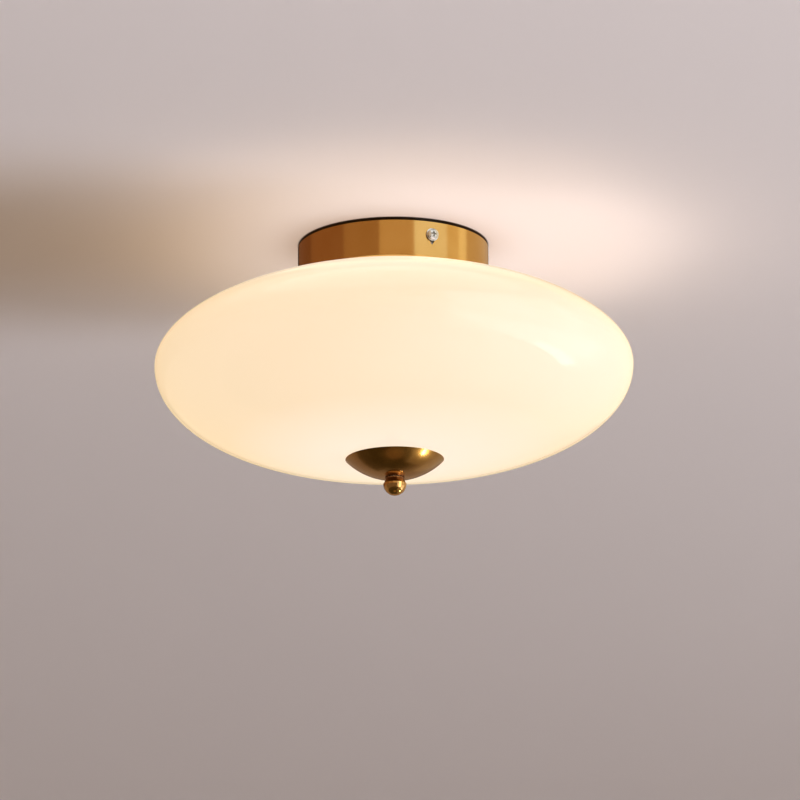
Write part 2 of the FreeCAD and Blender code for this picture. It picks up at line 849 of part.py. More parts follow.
def block_screw_places():
    """The block's two fixing screws stand between its poles."""
    middle = block_rod_distance + block_depth / 2
    return [(middle, -block_pole_pitch / 2), (middle, block_pole_pitch / 2)]


def bore_level():
    return floor_top + block_bore_height


def lying_cylinder(diameter, x_low, x_high, y):
    """A cylinder along +X at the level of the block's bores."""
    return Part.makeCylinder(diameter / 2, x_high - x_low, vector(x_low, y, bore_level()), vector(1, 0, 0))


def clamp_screw_spots():
    near = block_rod_distance + clamp_screw_inset
    far = block_rod_distance + block_depth - clamp_screw_inset
    return [near, far]


def terminal_block():
    """Three brass sleeves in a moulded block, each with two clamp screws, and two fixing screws."""
    near = block_rod_distance
    far = near + block_depth
    top = floor_top + block_height
    high = top + overrun
    block = box(near, far, -block_length / 2, block_length / 2, floor_top, top)
    groove = block_groove / 2
    for x, y in block_screw_places():
        block = block.cut(box(near, far, y - groove, y + groove, top - block_groove, high))
        block = block.cut(cylinder(small_screw_size + hole_clearance, floor_top - overrun, high, x, y))
    sleeves = []
    screws = []
    screw_low = bore_level() + lead_fan_lift + lead_core_diameter / 2 + running_clearance
    for y in pole_places().values():
        block = block.cut(lying_cylinder(sleeve_diameter, near - overrun, far + overrun, y))
        sleeve = lying_cylinder(sleeve_diameter, near + sleeve_end_gap, far - sleeve_end_gap, y)
        sleeve = sleeve.cut(lying_cylinder(sleeve_bore, near, far, y))
        for x in clamp_screw_spots():
            bore = cylinder(clamp_screw_size, bore_level(), high, x, y)
            block = block.cut(bore)
            sleeve = sleeve.cut(bore)
            screws.append(cylinder(clamp_screw_size, screw_low, top - clamp_screw_recess, x, y))
        sleeves.append(sleeve)
    add("terminal_block", block)
    add("terminal_sleeves", *sleeves)
    add("clamp_screws", *screws)
    fixings = []
    for x, y in block_screw_places():
        screw = pan_screw(small_screw_size, block_screw_length, small_head_diameter, small_head_height)
        screw.translate(vector(x, y, top))
        fixings.append(screw)
    add("block_screws", *fixings)


def floor_grommet():
    """The soft grommet that lines the leads' hole in the canopy floor."""
    bore = grommet_bore / 2
    hub = grommet_hole_diameter / 2
    flange = grommet_flange_diameter / 2
    thickness = grommet_flange_thickness
    outline = [
        (bore, canopy_bottom - thickness),
        (flange, canopy_bottom - thickness),
        (flange, canopy_bottom),
        (hub, canopy_bottom),
        (hub, floor_top),
        (flange, floor_top),
        (flange, floor_top + thickness),
        (bore, floor_top + thickness),
    ]
    grommet = turned_outline(outline)
    grommet.translate(vector(grommet_distance, 0, 0))
    return grommet


def holder_lead_entry(angle, sign):
    """The axis of one lead hole of the holder at an angle, as x and y."""
    along = math.radians(angle)
    offset = sign * pin_spacing / 2
    x = holder_circle_radius * math.cos(along) - offset * math.sin(along)
    y = holder_circle_radius * math.sin(along) + offset * math.cos(along)
    return x, y


def lead_end():
    """Where a lead's insulation stops, in the block's entry just short of the brass sleeve."""
    return block_rod_distance + sleeve_end_gap - running_clearance


def lead_route(colour, column, level, entry, waypoints):
    """From a holder up through the plate, across to the grommet, up through it and over to its pole."""
    side = 1 if colour == "brown" else -1
    grommet_x = grommet_distance + column * lead_column_pitch
    grommet_y = side * lead_row_gap / 2
    run_level = canopy_bottom - lead_first_level_drop - level * lead_level_pitch
    lift = lead_fan_lift if column == 0 else 0
    pole_y = side * (block_pole_pitch - column * lead_fan_pitch)
    pole_level = bore_level() + lift
    fan_end = block_rod_distance - lead_bend_radius
    points = [vector(entry[0], entry[1], holder_joint)]
    points.append(vector(entry[0], entry[1], run_level))
    points += [vector(x, y, run_level) for x, y in waypoints]
    points.append(vector(grommet_x, grommet_y, run_level))
    points.append(vector(grommet_x, grommet_y, pole_level))
    points.append(vector(fan_end, pole_y, pole_level))
    points.append(vector(lead_end(), pole_y, pole_level))
    return points


def leads():
    """The six leads of the three lampholders, two to each."""
    first, second, third = holder_angles()
    around = lead_rod_clearance
    side_step = grommet_distance + lead_column_pitch * side_run_columns
    beside = [(side_step, lead_row_gap * 2), (side_step, -lead_row_gap / 2)]
    plans = [
        ("brown", 1, 0, 0, holder_lead_entry(first, 1), []),
        ("blue", 1, 1, 1, holder_lead_entry(first, -1), beside),
        ("brown", 2, -1, 0, holder_lead_entry(second, -1), [(-around, around), (around / 2, around)]),
        ("blue", 2, -1, 0, holder_lead_entry(second, 1), [(-around, -around), (around / 2, -around)]),
        ("brown", 3, 1, 2, holder_lead_entry(third, 1), []),
        ("blue", 3, 0, 0, holder_lead_entry(third, -1), []),
    ]
    cores = []
    for colour, number, column, level, entry, waypoints in plans:
        points = lead_route(colour, column, level, entry, waypoints)
        radii = [lead_bend_radius] * (len(points) - 2)
        add(colour + "_lead_" + str(number), swept(points, radii, lead_diameter))
        cores.append(lead_core(points[-1]))
    earth = earth_route()
    add("earth_lead", swept(earth, [lead_bend_radius] * (len(earth) - 2), lead_diameter))
    cores.append(lead_core(earth[-1]))
    add("lead_cores", *cores)


def lead_core(end):
    """The bared copper end of a lead, in its brass sleeve."""
    return Part.makeCylinder(lead_core_diameter / 2, lead_core_bite, end, vector(1, 0, 0))


def earth_tag():
    """The ring tag under the floor screw, with its barrel towards the terminal block."""
    low = floor_top
    high = floor_top + tag_thickness
    ring = tube(tag_ring_diameter, earth_screw_size + hole_clearance, low, high, tag_place_x, tag_place_y)
    ring_edge = tag_place_y + tag_ring_diameter / 2
    half = tag_barrel_diameter / 2
    neck = box(
        tag_place_x - half,
        tag_place_x + half,
        ring_edge - half,
        ring_edge + half,
        low,
        high,
    )
    barrel = Part.makeCylinder(
        half,
        tag_barrel_length,
        vector(tag_place_x, ring_edge + half, low + half),
        vector(0, 1, 0),
    )
    return ring.fuse(neck).fuse(barrel).removeSplitter()


def tag_screw():
    length = tag_thickness + canopy_wall + tag_screw_tail
    screw = pan_screw(earth_screw_size, length, earth_head_diameter, earth_head_height)
    screw.translate(vector(tag_place_x, tag_place_y, floor_top + tag_thickness))
    return screw


def tag_nut():
    low = canopy_bottom - tag_nut_height
    return hexagon_nut(tag_nut_across_flats, earth_screw_size, low, canopy_bottom, tag_place_x, tag_place_y)


def earth_route():
    """From the tag's barrel, up over the blue leads and down to the block's middle pole."""
    barrel_end = tag_place_y + tag_ring_diameter / 2 + tag_barrel_diameter / 2 + tag_barrel_length
    low = floor_top + tag_barrel_diameter / 2
    high = bore_level() + earth_crossing_lift
    across = block_rod_distance - tag_place_x
    first_x, second_x = [tag_place_x + across * share for share in earth_run_x_shares]
    leave_y, rise_y, over_y = [barrel_end * share for share in earth_run_y_shares]
    return [
        vector(tag_place_x, barrel_end, low),
        vector(tag_place_x, leave_y, low),
        vector(first_x, rise_y, high),
        vector(second_x, over_y, high),
        vector(block_rod_distance - lead_bend_radius, 0, bore_level()),
        vector(lead_end(), 0, bore_level()),
    ]


def build():
    add("mounting_bracket", bracket())
    add("bracket_earth_screw", bracket_earth_screw())
    add("canopy", canopy())
    side_screws()
    rod_and_nuts()
    add("upper_gasket", upper_gasket())
    add("glass_shade", glass_shade())
    add("shade_bush", shade_bush())
    add("dish_cap", dish_cap())
    add("dish_ring", dish_ring())
    add("ball_finial", ball_finial())
    add("lamp_plate", lamp_plate())
    lamps()
    add("holder_screws", *holder_screws())
    terminal_block()
    add("floor_grommet", floor_grommet())
    add("earth_tag", earth_tag())
    add("tag_screw", tag_screw())
    add("tag_nut", tag_nut())
    leads()


def write():
    os.makedirs("parts", exist_ok=True)
    for name, shape in nodes.items():
        shape.exportStep("parts/" + name + ".step")
    print(len(nodes), "nodes written")


build()
write()
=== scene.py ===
import math

import bmesh
import bpy
from mathutils import Matrix, Vector


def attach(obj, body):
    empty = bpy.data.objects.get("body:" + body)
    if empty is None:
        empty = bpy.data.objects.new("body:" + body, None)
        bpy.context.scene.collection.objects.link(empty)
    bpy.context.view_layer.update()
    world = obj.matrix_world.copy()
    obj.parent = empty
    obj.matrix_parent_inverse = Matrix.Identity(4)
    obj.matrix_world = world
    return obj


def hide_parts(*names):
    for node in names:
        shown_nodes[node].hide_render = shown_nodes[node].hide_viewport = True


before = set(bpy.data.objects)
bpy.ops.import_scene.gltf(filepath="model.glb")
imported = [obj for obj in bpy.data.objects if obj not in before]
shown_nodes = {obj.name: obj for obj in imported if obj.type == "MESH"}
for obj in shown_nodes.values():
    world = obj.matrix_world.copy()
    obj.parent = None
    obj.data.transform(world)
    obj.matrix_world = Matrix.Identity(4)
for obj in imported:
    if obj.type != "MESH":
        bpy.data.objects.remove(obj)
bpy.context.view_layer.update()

MM = 0.001

# Sizes shared by several of the light's parts, in millimetres. Z is 0 on the ceiling and +Z points up.
SIDE_SCREW_LEVEL = -9.5
SIDE_SCREW_SEAT = 60.85
FLOOR_TOP = -24.0
CANOPY_BOTTOM = -25.0
PLATE_TOP = -36.0
PLATE_BOTTOM = -36.8
WASHER = 1.5
ROD_BOTTOM = -157.4
ROD_TOP = -15.0
ROD_RADIUS = 5.0
ROD_BORE_RADIUS = 3.5
ROD_PITCH = 1.0
NUT_FLATS = 14.0
THICK_NUT = 4.0
THIN_NUT = 3.0
BLOCK_TOP = -12.0
BLOCK_MIDDLE = 37.0
BLOCK_SCREW_OFFSET = 5.0
TERMINAL_OFFSET = 4.5
TERMINAL_STEP = 10.0
HOLDER_ANGLES = (60, 180, 300)
HOLDER_CIRCLE = 26.0
HOLDER_SCREW_OFFSET = 8.4
EARTH_SCREW_PLACE = (8.5, 17.0, -1.5)
TAG_THICKNESS = 0.8
TAG_NUT_FLATS = 7.0
TAG_NUT = 3.2
TAG_DISTANCE = 37.7
TAG_ANGLE = math.radians(-58)
TAG_PLACE = (TAG_DISTANCE * math.cos(TAG_ANGLE), TAG_DISTANCE * math.sin(TAG_ANGLE))
# Painted shade under the dish: up the finial's neck the brass turns brown from one level to the other.
PAINTED_SHADE_START = -154.2
PAINTED_SHADE_END = -152.6
# The glow in the glass fades with the distance from the bulbs. Heights are drawn out, and then lifted.
GLOW_UPRIGHT = 1.35
GLOW_LIFT = 80.0
GLOW_NEAR = 50.0
GLOW_FAR = 175.0


# Surfaces

def linear(hex_colour):
    """An sRGB hex colour as the linear RGBA that shaders take."""
    channels = [int(hex_colour[i:i + 2], 16) / 255 for i in (1, 3, 5)]
    return [c / 12.92 if c <= 0.04045 else ((c + 0.055) / 1.055) ** 2.4 for c in channels] + [1.0]


def set_inputs(tree, node, inputs):
    """Sets each named input of a node to a value, or links it to a socket."""
    for name, value in inputs.items():
        if isinstance(value, bpy.types.NodeSocket):
            tree.links.new(value, node.inputs[name])
        else:
            node.inputs[name].default_value = value


def add_node(tree, kind, settings=None, inputs=None):
    """Adds one node with its settings and its inputs."""
    made = tree.nodes.new(kind)
    for name, value in (settings or {}).items():
        setattr(made, name, value)
    set_inputs(tree, made, inputs or {})
    return made


def new_surface(name):
    """A new material with only its Principled shader, and the node tree to add to."""
    surface = bpy.data.materials.new(name)
    surface.use_nodes = True
    return surface, surface.node_tree, surface.node_tree.nodes["Principled BSDF"]


def own_place(tree):
    """The piece's own coordinates, in metres."""
    return add_node(tree, "ShaderNodeTexCoord").outputs["Object"]


def mapped(tree, scale, lift=0.0):
    """The piece's own coordinates times a scale for each axis, then lifted."""
    inputs = {"Vector": own_place(tree), "Location": (0, 0, lift), "Scale": scale}
    return add_node(tree, "ShaderNodeMapping", inputs=inputs).outputs[0]


def mottle(tree, grain_mm, detail=3.0, stretch=(1, 1, 1)):
    """Noise whose grains are about grain_mm across, drawn out where stretch is below 1."""
    scale = [axis / (grain_mm * MM) for axis in stretch]
    inputs = {"Vector": mapped(tree, scale), "Scale": 1.0, "Detail": detail}
    return add_node(tree, "ShaderNodeTexNoise", inputs=inputs).outputs["Fac"]


def blend_colours(tree, factor, first, second):
    """A ramp between two hex colours, driven by a factor."""
    ramp = add_node(tree, "ShaderNodeValToRGB", inputs={"Fac": factor})
    ramp.color_ramp.elements[0].position = 0.3
    ramp.color_ramp.elements[0].color = linear(first)
    ramp.color_ramp.elements[1].position = 0.7
    ramp.color_ramp.elements[1].color = linear(second)
    return ramp.outputs["Color"]


def mixed(tree, factor, first, second):
    """The first colour where the factor is 0 and the second where it is 1."""
    inputs = {"Fac": factor, "Color1": first, "Color2": second}
    return add_node(tree, "ShaderNodeMixRGB", inputs=inputs).outputs[0]


def shader_mix(tree, factor, first, second):
    """The first shader where the factor is 0 and the second where it is 1."""
    return add_node(tree, "ShaderNodeMixShader", inputs={0: factor, 1: first, 2: second}).outputs[0]


def combined(tree, operation, first, second):
    """Two values worked into one."""
    return add_node(tree, "ShaderNodeMath", {"operation": operation}, {0: first, 1: second}).outputs[0]


def measured(tree, operation, vector, other=(0, 0, 0)):
    """A value measured on a vector, alone or against another."""
    inputs = {0: vector, 1: other}
    return add_node(tree, "ShaderNodeVectorMath", {"operation": operation}, inputs).outputs["Value"]


def spread(tree, factor, low, high):
    """A factor from 0 to 1 spread over a range."""
    inputs = {"Value": factor, "To Min": low, "To Max": high}
    return add_node(tree, "ShaderNodeMapRange", inputs=inputs).outputs["Result"]


def share_between(tree, value, start, end, easing="LINEAR"):
    """How far a value is on its way from start to end, as 0 to 1."""
    inputs = {"Value": value, "From Min": start, "From Max": end}
    return add_node(tree, "ShaderNodeMapRange", {"interpolation_type": easing}, inputs).outputs["Result"]


def relief(tree, height, depth_mm, strength=1.0):
    """A bump whose full height is depth_mm."""
    inputs = {"Height": height, "Distance": depth_mm * MM, "Strength": strength}
    return add_node(tree, "ShaderNodeBump", inputs=inputs).outputs["Normal"]


def round_the_axis(tree):
    """The way that a lathe's tool runs, round Z."""
    return add_node(tree, "ShaderNodeTangent", {"direction_type": "RADIAL", "axis": "Z"}).outputs["Tangent"]


def brushed_lacquered_brass():
    """Spun brass, brushed round the cup and lacquered: upright bands of light, and rings 0.25 mm apart."""
    surface, tree, shader = new_surface("brushed_lacquered_brass")
    rings = mottle(tree, 0.25, 2.0, (0.02, 0.02, 1))
    cloud = mottle(tree, 18, 2.0)
    set_inputs(tree, shader, {
        "Base Color": blend_colours(tree, cloud, "#DAAA5C", "#DFB166"),
        "Metallic": 1.0,
        "Roughness": spread(tree, rings, 0.17, 0.23),
        "Anisotropic": 0.95,
        "Anisotropic Rotation": 0.25,
        "Tangent": round_the_axis(tree),
        "Coat Weight": 0.2,
        "Coat Roughness": 0.06,
    })
    return surface


def satin_antique_brass():
    """Spun brass, toned brown and waxed: cloudy brown patches, and turning lines 0.3 mm apart."""
    surface, tree, shader = new_surface("satin_antique_brass")
    lines_per_metre = 3300.0
    radius = measured(tree, "LENGTH", mapped(tree, (1, 1, 0)))
    along_radius = {"W": radius, "Scale": lines_per_metre}
    lines = add_node(tree, "ShaderNodeTexNoise", {"noise_dimensions": "1D"}, along_radius).outputs["Fac"]
    cloud = mottle(tree, 9, 4.0)
    set_inputs(tree, shader, {
        "Base Color": blend_colours(tree, cloud, "#AE8040", "#BF9250"),
        "Metallic": 1.0,
        "Roughness": spread(tree, cloud, 0.19, 0.27),
        "Anisotropic": 0.35,
        "Tangent": round_the_axis(tree),
        "Normal": relief(tree, lines, 0.001),
        "Coat Weight": 0.6,
        "Coat Roughness": 0.08,
    })
    return surface


def polished_brass():
    """Polished brass under lacquer: near mirror-bright, with faint wiping marks, and painted shade up its
    neck.
    """
    surface, tree, shader = new_surface("polished_brass")
    wiping = mottle(tree, 1.2, 3.0)
    level = add_node(tree, "ShaderNodeSeparateXYZ", inputs={0: own_place(tree)}).outputs["Z"]
    painted_neck_shade = share_between(tree, level, PAINTED_SHADE_START * MM, PAINTED_SHADE_END * MM)
    bright = blend_colours(tree, wiping, "#CE9E56", "#D8AC66")
    set_inputs(tree, shader, {
        # The neck's brown is painted shade under the dish.
        "Base Color": mixed(tree, painted_neck_shade, bright, linear("#8C5C28")),
        "Metallic": 1.0,
        "Roughness": spread(tree, wiping, 0.09, 0.15),
        "Coat Weight": 0.7,
        "Coat Roughness": 0.06,
    })
    return surface


def fired_opal_glass():
    """Blown opal glass, lit from within: an even warm glow under a fire-polished gloss with slow waves."""
    surface, tree, shader = new_surface("fired_opal_glass")
    waves = mottle(tree, 60, 1.0)
    off_bulbs = measured(tree, "LENGTH", mapped(tree, (1, 1, GLOW_UPRIGHT), GLOW_LIFT * MM))
    faded = share_between(tree, off_bulbs, GLOW_NEAR * MM, GLOW_FAR * MM)
    set_inputs(tree, shader, {
        "Base Color": linear("#BAB0B9"),
        "Roughness": 0.07,
        "IOR": 1.5,
        "Emission Color": blend_colours(tree, faded, "#FFF7E8", "#F9DDA9"),
        "Emission Strength": 0.8,
        "Normal": relief(tree, waves, 0.12, 0.4),
    })
    return surface


def bright_zinc():
    """Pressed steel, zinc plated and clear passivated: cold grey with a faint blue and soft spangle."""
    surface, tree, shader = new_surface("bright_zinc_plate")
    spangle = mottle(tree, 3.5, 4.0)
    grain = mottle(tree, 0.4, 2.0)
    set_inputs(tree, shader, {
        "Base Color": blend_colours(tree, spangle, "#B4B8BC", "#CBCDCC"),
        "Metallic": 1.0,
        "Roughness": spread(tree, spangle, 0.28, 0.42),
        "Normal": relief(tree, grain, 0.006),
    })
    return surface


def nickel_plate():
    """Cold-headed steel, nickel plated: bright warm white with tiny tumbling dents."""
    surface, tree, shader = new_surface("bright_nickel_plate")
    dents = mottle(tree, 0.5, 2.0)
    set_inputs(tree, shader, {
        "Base Color": blend_colours(tree, dents, "#DAD8D2", "#E6E4DF"),
        "Metallic": 1.0,
        "Roughness": spread(tree, dents, 0.14, 0.24),
        "Normal": relief(tree, dents, 0.006),
    })
    return surface


def machined_brass():
    """Brass bar, machined and left bare: yellow, with fine cutter rings and duller patches."""
    surface, tree, shader = new_surface("machined_bare_brass")
    patches = mottle(tree, 2.5, 3.0)
    cutter = mottle(tree, 0.2, 1.0, (1, 0.05, 0.05))
    set_inputs(tree, shader, {
        "Base Color": blend_colours(tree, patches, "#C9A254", "#DDB96C"),
        "Metallic": 1.0,
        "Roughness": spread(tree, patches, 0.25, 0.4),
        "Normal": relief(tree, cutter, 0.004),
    })
    return surface


def baked_enamel():
    """Steel sprayed and baked: clean white with a slight orange peel, 1.5 mm across."""
    surface, tree, shader = new_surface("white_baked_enamel")
    peel = mottle(tree, 1.5, 1.0)
    cloud = mottle(tree, 25, 2.0)
    set_inputs(tree, shader, {
        "Base Color": blend_colours(tree, cloud, "#EDECE8", "#F3F2EE"),
        "Roughness": 0.3,
        "Coat Weight": 0.3,
        "Coat Roughness": 0.1,
        "Normal": relief(tree, peel, 0.02, 0.5),
    })
    return surface


def glazed_steatite():
    """Pressed steatite under a clear glaze: off-white with fine grey specks and a wet gloss."""
    surface, tree, shader = new_surface("glazed_steatite")
    specks = mottle(tree, 0.5, 4.0)
    swell = mottle(tree, 4, 1.0)
    set_inputs(tree, shader, {
        "Base Color": blend_colours(tree, specks, "#DDD8CC", "#F1EDE3"),
        "Roughness": 0.22,
        "Coat Weight": 0.6,
        "Coat Roughness": 0.05,
        "Normal": relief(tree, swell, 0.03, 0.6),
    })
    return surface


def moulded_plastic(name, first, second, roughness, grain_depth):
    """Injection-moulded plastic: an even colour with the tool's fine spark texture."""
    surface, tree, shader = new_surface(name)
    spark = mottle(tree, 0.35, 3.0)
    flow = mottle(tree, 12, 1.0)
    set_inputs(tree, shader, {
        "Base Color": blend_colours(tree, flow, first, second),
        "Roughness": spread(tree, spark, roughness, roughness + 0.12),
        "Normal": relief(tree, spark, grain_depth),
    })
    return surface


def lit_bulb_cover():
    """Moulded opal cover of a lit bulb: milky, and bright from within."""
    surface, tree, shader = new_surface("lit_opal_bulb_cover")
    haze = mottle(tree, 6, 1.0)
    set_inputs(tree, shader, {
        "Base Color": linear("#F5F1E6"),
        "Roughness": 0.35,
        "Emission Color": blend_colours(tree, haze, "#FFE2B4", "#FFE8C2"),
        "Emission Strength": 0.9,
    })
    return surface


def clear_silicone():
    """Moulded silicone: milky and half clear, dusty on its skin."""
    surface, tree, shader = new_surface("moulded_silicone")
    dust = mottle(tree, 0.8, 4.0)
    set_inputs(tree, shader, {
        "Base Color": blend_colours(tree, dust, "#CFC9BE", "#DDD8CE"),
        "Roughness": spread(tree, dust, 0.4, 0.6),
        "Transmission Weight": 0.3,
        "IOR": 1.41,
    })
    return surface


def black_rubber():
    """Moulded rubber: near black, matt, with a grey bloom along its skin."""
    surface, tree, shader = new_surface("moulded_black_rubber")
    bloom = mottle(tree, 1.5, 4.0)
    set_inputs(tree, shader, {
        "Base Color": blend_colours(tree, bloom, "#161616", "#2A2928"),
        "Roughness": spread(tree, bloom, 0.55, 0.75),
        "Normal": relief(tree, bloom, 0.02, 0.5),
    })
    return surface


def lead_insulation(name, first, second):
    """Extruded lead insulation: smooth and slightly waxy, with faint clouds in its colour."""
    surface, tree, shader = new_surface(name)
    cloud = mottle(tree, 1.0, 2.0)
    set_inputs(tree, shader, {
        "Base Color": blend_colours(tree, cloud, first, second),
        "Roughness": spread(tree, cloud, 0.32, 0.45),
        "Coat Weight": 0.15,
        "Coat Roughness": 0.3,
    })
    return surface


def earth_insulation():
    """Extruded green insulation with a yellow stripe down two of its sides."""
    surface, tree, shader = new_surface("extruded_earth_insulation")
    stripe_way = (0.5, 0.5, 0.7)
    normal = add_node(tree, "ShaderNodeTexCoord").outputs["Normal"]
    turned_there = measured(tree, "DOT_PRODUCT", normal, stripe_way)
    either_side = add_node(tree, "ShaderNodeMath", {"operation": "ABSOLUTE"}, {0: turned_there}).outputs[0]
    stripe = share_between(tree, either_side, 0.5, 0.54)
    set_inputs(tree, shader, {
        "Base Color": blend_colours(tree, stripe, "#3E8B3A", "#E3C93A"),
        "Roughness": 0.38,
        "Coat Weight": 0.15,
        "Coat Roughness": 0.3,
    })
    return surface


def bare_copper():
    """Twisted copper strands, bare and a little dulled."""
    surface, tree, shader = new_surface("bare_copper_strands")
    strands = mottle(tree, 0.15, 2.0, (0.2, 1, 1))
    set_inputs(tree, shader, {
        "Base Color": blend_colours(tree, strands, "#B0653E", "#D98C60"),
        "Metallic": 1.0,
        "Roughness": 0.3,
        "Normal": relief(tree, strands, 0.05),
    })
    return surface


# The surface of each material slot of the CAD.
SURFACES = {
    "canopy_brass": brushed_lacquered_brass(),
    "dish_brass": satin_antique_brass(),
    "finial_brass": polished_brass(),
    "opal_glass": fired_opal_glass(),
    "bright_zinc": bright_zinc(),
    "screw_nickel": nickel_plate(),
    "terminal_brass": machined_brass(),
    "white_enamel": baked_enamel(),
    "lamp_ceramic": glazed_steatite(),
    "bulb_base": moulded_plastic("moulded_polycarbonate", "#E6E4DD", "#EFEDE6", 0.3, 0.008),
    "bulb_globe": lit_bulb_cover(),
    "pin_nickel": nickel_plate(),
    "block_nylon": moulded_plastic("moulded_nylon", "#DAD8CC", "#E6E4DA", 0.42, 0.012),
    "grommet_rubber": black_rubber(),
    "clear_silicone": clear_silicone(),
    "brown_insulation": lead_insulation("extruded_brown_insulation", "#3B2013", "#4B2A1A"),
    "blue_insulation": lead_insulation("extruded_blue_insulation", "#1C4C9A", "#2660B4"),
    "earth_insulation": earth_insulation(),
    "copper": bare_copper(),
}


def dress_cad_nodes():
    """Gives every CAD node the surface of its material slot."""
    for part in shown_nodes.values():
        part.data.materials[0] = SURFACES[part.data.materials[0].name]


# Screws, nuts and the threaded rod

def to_mesh(shape):
    """A mesh from a worked shape, which is freed."""
    mesh = bpy.data.meshes.new("shape")
    shape.to_mesh(mesh)
    shape.free()
    return mesh


def turned(profile, around=32, pitch=1.0, closed=False):
    """A mesh turned about Z from (radius, level, thread depth) points in millimetres, with a right-hand
    thread where the depth isn't zero."""
    shape = bmesh.new()
    rings = []
    for radius, level, depth in profile:
        ring = []
        for step in range(around):
            share = step / around
            reach = radius - depth * abs(2 * ((level / pitch - share) % 1) - 1)
            turn = 2 * math.pi * share
            point = (reach * math.cos(turn) * MM, reach * math.sin(turn) * MM, level * MM)
            ring.append(shape.verts.new(point))
        rings.append(ring)
    rings_above = rings[1:] + rings[:1] if closed else rings[1:]
    for low, high in zip(rings, rings_above):
        for step in range(around):
            after = (step + 1) % around
            shape.faces.new((low[step], low[after], high[after], high[step]))
    bmesh.ops.remove_doubles(shape, verts=shape.verts, dist=1e-7)
    bmesh.ops.recalc_face_normals(shape, faces=shape.faces)
    return to_mesh(shape)


def prism(corners, low, high, taper=1.0):
    """A block on a flat outline: full size at its high level, and times the taper at its low one."""
    shape = bmesh.new()
    top = [shape.verts.new((x * MM, y * MM, high * MM)) for x, y in corners]
    bottom = [shape.verts.new((x * taper * MM, y * taper * MM, low * MM)) for x, y in corners]
    count = len(corners)
    for step in range(count):
        after = (step + 1) % count
        shape.faces.new((bottom[step], bottom[after], top[after], top[step]))
    shape.faces.new(top)
    shape.faces.new(bottom[::-1])
    bmesh.ops.recalc_face_normals(shape, faces=shape.faces)
    return to_mesh(shape)


def carved(body, tool, operation):
    """The body cut by, or kept inside, the tool."""
    worked = bpy.data.objects.new("worked", body)
    cutter = bpy.data.objects.new("cutter", tool)
    for helper in (worked, cutter):
        bpy.context.scene.collection.objects.link(helper)
    cut = worked.modifiers.new("cut", "BOOLEAN")
    cut.operation = operation
    cut.solver = "EXACT"
    cut.object = cutter
    bpy.context.view_layer.update()
    result = bpy.data.meshes.new_from_object(worked.evaluated_get(bpy.context.evaluated_depsgraph_get()))
    for helper in (worked, cutter):
        bpy.data.objects.remove(helper)
    return result


def threaded_run(radius, low, high, pitch, depth):
    """Points up a thread, four to each turn, with its first and last turns running out."""
    count = round((high - low) / pitch * 4)
    points = []
    for step in range(count + 1):
        level = low + (high - low) * step / count
        run_out = min(1, (level - low) / pitch, (high - level) / pitch)
        points.append((radius, level, depth * run_out))
    return points


def cross_recess(span, width, depth, top):
    """The tapered cross that a screwdriver's tip leaves in a head."""
    arm = span / 2
    half = width / 2
    outline = [(half, half), (half, arm), (-half, arm), (-half, half), (-arm, half), (-arm, -half)]
    corners = outline + [(-x, -y) for x, y in outline]
    overshoot = 0.5
    return prism(corners, top - depth, top + overshoot, 0.4)


def pan_screw(size, length, head, height, pitch):
    """A pan-head screw along +Z, seated at zero: a threaded shank, a rolled edge and a cross recess."""
    radius = size / 2
    rim = head / 2
    dome = 0.7
    foot_edge = 0.12
    crown_edge = 0.1
    undercut = 0.02
    shoulder = height - dome
    depth = 0.54 * pitch
    profile = [(0, -length, 0), (radius - depth, -length, 0)]
    profile += threaded_run(radius, -length + pitch * 0.4, -pitch * 0.5, pitch, depth)
    profile += [(radius, -undercut, 0), (rim - foot_edge, 0, 0), (rim, foot_edge, 0),
                (rim, shoulder - crown_edge, 0)]
    for share in (0.97, 0.9, 0.78, 0.6, 0.4, 0.2, 0):
        profile.append((rim * share, shoulder + dome * (1 - share ** 2), 0))
    head_and_shank = turned(profile, 32, pitch)
    recess = cross_recess(span=head * 0.64, width=head * 0.19, depth=height * 0.9, top=height)
    return carved(head_and_shank, recess, "DIFFERENCE")


def slotted_screw(size, low, high):
    """A headless clamp screw with a driver slot across its top."""
    radius = size / 2
    edge = 0.2
    slot_side = 0.25
    slot_depth = 0.9
    overshoot = 0.5
    body = turned([(0, low, 0), (radius - edge, low, 0), (radius, low + edge, 0), (radius, high - edge, 0),
                   (radius - edge, high, 0), (0, high, 0)], 24)
    outline = [(-size, -slot_side), (size, -slot_side), (size, slot_side), (-size, slot_side)]
    return carved(body, prism(outline, high - slot_depth, high + overshoot), "DIFFERENCE")


def hexagon_nut(flats, bore, low, high):
    """A nut with both faces chamfered to a circle and both mouths of its bore eased."""
    corner = flats / math.sqrt(3)
    across = flats / 2
    ease = 0.3
    overshoot = 1
    slope = (corner - across) * 0.6
    face = across * 0.98
    blank = corner * 1.02
    ring = turned([(bore, low + ease, 0), (bore + ease, low, 0), (face, low, 0), (blank, low + slope, 0),
                   (blank, high - slope, 0), (face, high, 0), (bore + ease, high, 0),
                   (bore, high - ease, 0)], 48, closed=True)
    turns = [math.radians(angle) for angle in range(0, 360, 60)]
    sides = [(corner * math.cos(turn), corner * math.sin(turn)) for turn in turns]
    return carved(ring, prism(sides, low - overshoot, high + overshoot), "INTERSECT")


def put_together(name, shapes, body, node, slot):
    """One piece in place of a CAD node, from (mesh, placing matrix) pairs, riding on a body."""
    whole = bmesh.new()
    for mesh, place in shapes:
        copy = mesh.copy()
        copy.transform(place)
        whole.from_mesh(copy)
        bpy.data.meshes.remove(copy)
    mesh = to_mesh(whole)
    mesh.materials.clear()
    mesh.materials.append(SURFACES[slot])
    mesh.shade_smooth()
    mesh.set_sharp_from_angle(angle=math.radians(28))
    piece = bpy.data.objects.new(name, mesh)
    bpy.context.scene.collection.objects.link(piece)
    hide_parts(node)
    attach(piece, body)
    return piece


def at(x, y, z):
    """A move to a place in millimetres."""
    return Matrix.Translation(Vector((x, y, z)) * MM)


